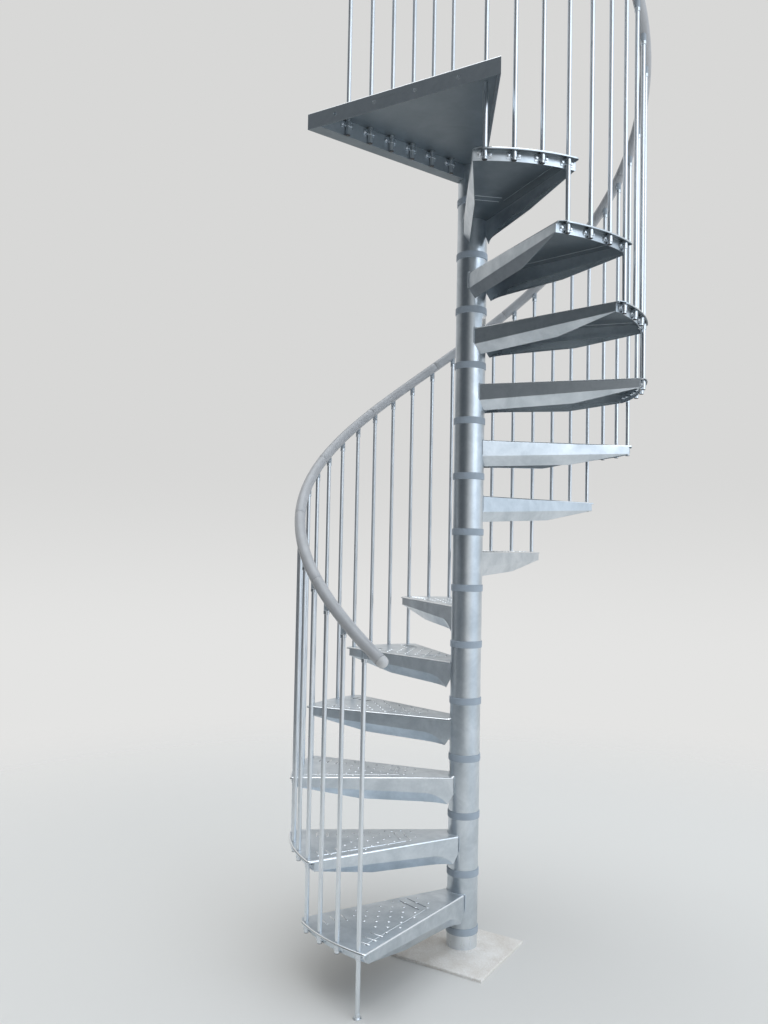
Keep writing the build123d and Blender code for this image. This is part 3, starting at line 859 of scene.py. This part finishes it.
class STAIR_OT_weld_treads(bpy.types.Operator):
    """Run weld beads where each tread meets its tube"""
    bl_idname = "stair.weld_treads"
    bl_label = "Weld the treads to the column"

    def execute(self, context):
        bead = sizes().weld_bead
        step, lift, past_sheet_angle = bead * 1.25, bead * 0.2, 0.035
        seat = HUB_RADIUS + lift
        count = int(2 * WELD_ANGLE / (step / HUB_RADIUS))
        standing = Matrix.Rotation(math.pi / 2, 4, "X")
        places = []
        for number in range(1, TREADS + 1):
            tread = tread_place(number)
            for index in range(count + 1):
                angle = -WELD_ANGLE + index * 2 * WELD_ANGLE / count
                places.append(tread @ turned(angle, seat, -lift))
            for side in (-1, 1):
                angle = side * (WELD_ANGLE + past_sheet_angle)
                for index in range(int(FLANGE_WELD / step)):
                    places.append(tread @ turned(angle, seat, -index * step) @ standing)
        make_copies("weld_beads", weld_ripple, places, "galvanised_sheet", "weld")
        return {"FINISHED"}


# Handrail

def rail_tube(index, span_angle, steps):
    """A length of round rail that winds up from over a baluster, with chamfered ends."""
    size = sizes()
    least_turn = math.radians(60)
    bm = bmesh.new()
    ring = bmesh.ops.create_circle(bm, cap_ends=False, segments=size.rail_sides, radius=RAIL_RADIUS,
                                   matrix=rail_place(index))["verts"]
    edges = {edge for vert in ring for edge in vert.link_edges}
    lift = RISE * span_angle / STEP_ANGLE / steps
    bmesh.ops.spin(bm, geom=list(ring) + list(edges), cent=(0, 0, 0), axis=(0, 0, 1),
                   dvec=(0, 0, lift), angle=-span_angle, steps=steps)
    rim = [edge for edge in bm.edges if edge.is_boundary]
    bmesh.ops.holes_fill(bm, edges=rim, sides=0)
    bmesh.ops.recalc_face_normals(bm, faces=bm.faces)
    ends = [edge for edge in bm.edges if edge.calc_face_angle(0) > least_turn]
    bmesh.ops.bevel(bm, geom=ends, offset=size.rail_groove, segments=2, profile=0.5, affect="EDGES",
                    material=-1, clamp_overlap=True)
    return bm


def rail_plug(bm):
    """The turned plug in the rail's open end, with a chamfer at its joint and a rounded nose."""
    size = sizes()
    chamfer, nose, steps = size.rail_groove, size.plug_nose, 8
    profile = [(0, 0), (RAIL_RADIUS - chamfer, 0), (RAIL_RADIUS, chamfer)]
    for step in range(steps + 1):
        angle = step / steps * math.pi / 2
        profile.append((RAIL_RADIUS - nose + nose * math.cos(angle),
                        size.rail_plug - nose + nose * math.sin(angle)))
    profile.append((0, size.rail_plug))
    lathe(bm, profile, size.rail_sides)


class STAIR_OT_wind_handrail(bpy.types.Operator):
    """Wind the moulded handrail up the stair in equal lengths and plug its ends"""
    bl_idname = "stair.wind_handrail"
    bl_label = "Wind the handrail"

    def execute(self, context):
        span = LAST_BALUSTER + 2 * RAIL_LEAD
        share = span / RAIL_PIECES
        steps = 18
        for number in range(RAIL_PIECES):
            bm = rail_tube(number * share - RAIL_LEAD, share * BALUSTER_STEP, steps)
            piece = make_piece(f"rail_length_{number + 1:02d}", bm, "rail_plastic")
            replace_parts(piece, f"handrail_{number + 1:02d}")
        foot = rail_place(-RAIL_LEAD) @ Matrix.Rotation(math.pi, 4, "X")
        head = rail_place(LAST_BALUSTER + RAIL_LEAD)
        piece = make_copies("rail_plugs", rail_plug, [foot, head], "rail_plastic", "rail_plug")
        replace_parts(piece, "handrail_ends")
        return {"FINISHED"}


# Collars under the handrail

def collar_ring(bm):
    """The bright sleeve round a baluster's top, below the moulded collar."""
    inner, outer, height, edge = BALUSTER_RADIUS + 0.1 * MM, 10.6 * MM, 13 * MM, 0.6 * MM
    lathe(bm, [(inner, 0), (outer - edge, 0), (outer, edge), (outer, height - edge),
               (outer - edge, height), (inner, height), (inner, 0)], sides=28)


def collar_screw(bm):
    """A small domed screw head with a round drive, which stands a little into the plane Z = 0."""
    radius, height, foot = 3.4 * MM, 2.2 * MM, -0.5 * MM
    dome = [(1, 0.3), (0.8, 0.75), (0.45, 1), (0.4, 0.55), (0, 0.55)]
    lathe(bm, [(0, foot), (radius, foot)] + scaled(dome, radius, height), sides=14)


class STAIR_OT_dress_collars(bpy.types.Operator):
    """Put the bright sleeves and side screws on the collars under the rail"""
    bl_idname = "stair.dress_collars"
    bl_label = "Dress the rail collars"

    def execute(self, context):
        collar_radius, screw_height = 10 * MM, 22 * MM
        sloped_drop = RAIL_RADIUS / math.cos(RAIL_SLOPE) + COLLAR_DROP
        level_drop = RAIL_RADIUS + COLLAR_DROP
        feet = [turned(baluster_angle(index), CIRCLE, rail_level(index) - sloped_drop)
                for index in range(LAST_BALUSTER + 1)]
        rise = Matrix.Translation((0, 0, RAIL_HEIGHT - level_drop))
        feet += [place @ rise for place in landing_clamp_places()]
        make_copies("collar_sleeves", collar_ring, feet, "zinc_plated_clamp")
        seat = (Matrix.Translation((-collar_radius, 0, screw_height))
                @ Matrix.Rotation(-math.pi / 2, 4, "Y"))
        make_copies("collar_screws", collar_screw, [foot @ seat for foot in feet], "zinc_plated_clamp")
        return {"FINISHED"}


# Lower ends of the balusters

def end_plug(bm):
    """A domed plug in a baluster's lower end, with a thin rim that covers the tube's cut edge."""
    radius, rim, edge = BALUSTER_RADIUS + 0.3 * MM, 2 * MM, 0.6 * MM
    lathe(bm, [(0, 0), (radius * 0.6, 0), (radius - edge, 0.4 * MM), (radius, rim / 2), (radius, rim),
               (0, rim)], sides=20)


def flanged_foot(bm):
    """The small turned foot of the baluster that stands on the ground, with a flange and a socket."""
    size = sizes()
    reach, socket, height = size.foot_width / 2, BALUSTER_RADIUS + 1.5 * MM, size.foot_height
    edge, flange, fillet, lip = 0.8 * MM, 2.8 * MM, 1 * MM, 0.6 * MM
    lathe(bm, [(0, 0), (reach - edge, 0), (reach, edge), (reach, flange - edge), (reach - edge, flange),
               (socket + fillet, flange + lip), (socket, flange + lip + fillet), (socket, height - lip),
               (socket - lip, height), (0, height)], sides=36)


class STAIR_OT_plug_ends(bpy.types.Operator):
    """Plug the lower ends of the balusters and set the flanged foot on the ground"""
    bl_idname = "stair.plug_ends"
    bl_label = "Plug the baluster ends"

    def execute(self, context):
        below = Matrix.Translation((0, 0, -BALUSTER_END))
        ends = [clamp_place(index, baluster_levels(index)[0]) @ below
                for index in range(1, LAST_BALUSTER + 1)]
        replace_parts(make_copies("baluster_plugs", end_plug, ends, "black_plastic"), "baluster_end_caps")
        below = Matrix.Translation((0, 0, -LANDING_BALUSTER_END))
        ends = [place @ below for place in landing_clamp_places()]
        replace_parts(make_copies("landing_plugs", end_plug, ends, "black_plastic"), "landing_end_caps")
        foot = turned(FIRST_BALUSTER, CIRCLE)
        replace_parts(make_copies("flanged_foot", flanged_foot, [foot], "galvanised_tube"), "ground_foot")
        return {"FINISHED"}


# Stage

def direction(turn, height):
    """The way out from the stair, in degrees to the right of the photograph's camera and degrees up."""
    heading, elevation = CAMERA_HEADING + math.pi + math.radians(turn), math.radians(height)
    return Vector((math.cos(heading) * math.cos(elevation), math.sin(heading) * math.cos(elevation),
                   math.sin(elevation)))


def studio_floor():
    """A pale matt floor that fades out into the backdrop, so that no edge or horizon shows."""
    radius, drop, fade_start, fade_end = 12.0, 0.4 * MM, 1.8, 5.0
    bm = bmesh.new()
    bmesh.ops.create_circle(bm, cap_ends=True, segments=96, radius=radius,
                            matrix=Matrix.Translation((0, 0, -drop)))
    mesh = bpy.data.meshes.new("studio_floor")
    bm.to_mesh(mesh)
    bm.free()
    floor = bpy.data.objects.new("studio_floor", mesh)
    bpy.context.scene.collection.objects.link(floor)
    tree, shader, place = new_material("studio_paper")
    feed(tree, shader, {"Base Color": opaque(colours().floor), "Roughness": 0.9,
                        "Specular IOR Level": 0.2})
    reach = add_node(tree, "ShaderNodeVectorMath", {"operation": "LENGTH"}, {0: place}).outputs["Value"]
    fade = add_node(tree, "ShaderNodeMapRange", SMOOTH,
                    {"Value": reach, "From Min": fade_start, "From Max": fade_end}).outputs["Result"]
    clear = add_node(tree, "ShaderNodeBsdfTransparent").outputs["BSDF"]
    faded = add_node(tree, "ShaderNodeMixShader",
                     inputs={0: fade, 1: shader.outputs["BSDF"], 2: clear}).outputs["Shader"]
    output = next(node for node in tree.nodes if node.type == "OUTPUT_MATERIAL")
    feed(tree, output, {"Surface": faded})
    mesh.materials.append(bpy.data.materials["studio_paper"])


def sky_patch(tree, way, tone, middle, rim, core, colour, brightness):
    """The sky's tone with a round patch in it, its rim and core given as cosines from its middle."""
    facing = add_node(tree, "ShaderNodeVectorMath", {"operation": "DOT_PRODUCT"},
                      {0: way, 1: middle}).outputs["Value"]
    share = add_node(tree, "ShaderNodeMapRange", SMOOTH,
                     {"Value": facing, "From Min": rim, "From Max": core}).outputs["Result"]
    glow = tuple(channel * brightness for channel in linear(colour)[:3])
    return add_node(tree, "ShaderNodeMix", COLOUR_MIX,
                    {MIX_FACTOR: share, MIX_A: tone, MIX_B: opaque(glow)}).outputs[MIX_COLOUR]


def studio_sky():
    """A pale studio, bright overhead and to the right and shaded to the left, for the zinc to mirror."""
    world = bpy.data.worlds.new("studio_sky")
    bpy.context.scene.world = world
    world.use_nodes = True
    tree = world.node_tree
    tree.nodes.clear()
    low_tone, high_tone = linear("#E4E4E3"), linear("#D8D8D7")
    way = add_node(tree, "ShaderNodeTexCoord").outputs["Generated"]
    height = add_node(tree, "ShaderNodeSeparateXYZ", inputs={"Vector": way}).outputs["Z"]
    above = add_node(tree, "ShaderNodeMapRange", SMOOTH,
                     {"Value": height, "From Min": -0.12, "From Max": 0.1}).outputs["Result"]
    tone = add_node(tree, "ShaderNodeMix", COLOUR_MIX,
                    {MIX_FACTOR: above, MIX_A: low_tone, MIX_B: high_tone}).outputs[MIX_COLOUR]
    tone = sky_patch(tree, way, tone, direction(0, 90), rim=0.743, core=0.97,
                     colour="#F4F8FC", brightness=2.5)
    tone = sky_patch(tree, way, tone, direction(-55, 10), rim=0.4, core=0.97,
                     colour="#464C51", brightness=1.0)
    tone = sky_patch(tree, way, tone, direction(-124, -10), rim=0.848, core=0.99,
                     colour="#4A4F54", brightness=1.0)
    tone = sky_patch(tree, way, tone, direction(62, 26), rim=0.559, core=0.914,
                     colour="#E2EDF8", brightness=1.15)
    light = add_node(tree, "ShaderNodeBackground", inputs={"Color": tone, "Strength": 1.0})
    add_node(tree, "ShaderNodeOutputWorld", inputs={"Surface": light.outputs["Background"]})


def window_panel():
    """A large soft lamp that faces the stair's middle, set by how bright its face is."""
    distance, width, height, radiance = 6.0, 4.0, 4.5, 1.1
    way = direction(42, 22)
    lamp = bpy.data.lights.new("window_panel", "AREA")
    lamp.shape = "RECTANGLE"
    lamp.size = width
    lamp.size_y = height
    lamp.energy = radiance * math.pi * width * height
    lamp.color = linear("#EDF4FC")[:3]
    panel = bpy.data.objects.new("window_panel", lamp)
    middle = (CAD_BOX[0] + CAD_BOX[1]) / 2
    turn = way.to_track_quat("Z", "Y").to_matrix().to_4x4()
    panel.matrix_world = Matrix.Translation(middle + way * distance) @ turn
    bpy.context.scene.collection.objects.link(panel)


def photo_camera():
    """The camera at the photograph's own place, heading and framing."""
    lens = bpy.data.cameras.new("photo_camera")
    lens.sensor_fit = "AUTO"
    lens.sensor_width = SENSOR_MM
    lens.lens = SENSOR_MM * FOCAL_PX / FRAME_HEIGHT_PX
    camera = bpy.data.objects.new("photo_camera", lens)
    bpy.context.scene.collection.objects.link(camera)
    camera.matrix_world = (Matrix.Translation(CAMERA_PLACE)
                           @ Matrix.Rotation(CAMERA_HEADING - math.pi / 2, 4, "Z")
                           @ Matrix.Rotation(CAMERA_PITCH + math.pi / 2, 4, "X")
                           @ Matrix.Rotation(CAMERA_ROLL, 4, "Z"))
    bpy.context.scene.camera = camera


class STAIR_OT_set_stage(bpy.types.Operator):
    """Set the floor, the backdrop, the lamp and the camera"""
    bl_idname = "stair.set_stage"
    bl_label = "Set the stage"

    def execute(self, context):
        studio_floor()
        studio_sky()
        window_panel()
        photo_camera()
        context.scene.view_settings.view_transform = "Standard"
        return {"FINISHED"}


# Sidebar and the order of the steps

class STAIR_PT_sidebar(bpy.types.Panel):
    """Sizes, colours and steps of the stair"""
    bl_idname = "STAIR_PT_sidebar"
    bl_label = "Spiral staircase"
    bl_space_type = "VIEW_3D"
    bl_region_type = "UI"
    bl_category = "Stair"

    def draw(self, context):
        for group in (context.scene.stair_sizes, context.scene.stair_colours):
            box = self.layout.box()
            for name in type(group).__annotations__:
                box.prop(group, name)
        for step in STEPS:
            self.layout.operator(step.bl_idname)


STEPS = (STAIR_OT_finish_solids, STAIR_OT_form_sheet, STAIR_OT_raise_studs,
         STAIR_OT_bolt_clamps, STAIR_OT_weld_treads, STAIR_OT_wind_handrail,
         STAIR_OT_dress_collars, STAIR_OT_plug_ends, STAIR_OT_set_stage)
CLASSES = (StairSizes, StairColours, *STEPS, STAIR_PT_sidebar)


def register():
    """Register the classes and hang the sizes and colours on the scene."""
    for made in CLASSES:
        bpy.utils.register_class(made)
    bpy.types.Scene.stair_sizes = PointerProperty(type=StairSizes)
    bpy.types.Scene.stair_colours = PointerProperty(type=StairColours)


def unregister():
    """Take off what register adds."""
    del bpy.types.Scene.stair_colours
    del bpy.types.Scene.stair_sizes
    for made in reversed(CLASSES):
        bpy.utils.unregister_class(made)


def main():
    """Dress the stair step by step."""
    register()
    bpy.ops.stair.finish_solids()
    bpy.ops.stair.form_sheet()
    bpy.ops.stair.raise_studs()
    bpy.ops.stair.bolt_clamps()
    bpy.ops.stair.weld_treads()
    bpy.ops.stair.wind_handrail()
    bpy.ops.stair.dress_collars()
    bpy.ops.stair.plug_ends()
    bpy.ops.stair.set_stage()


if __name__ == "__main__":
    main()
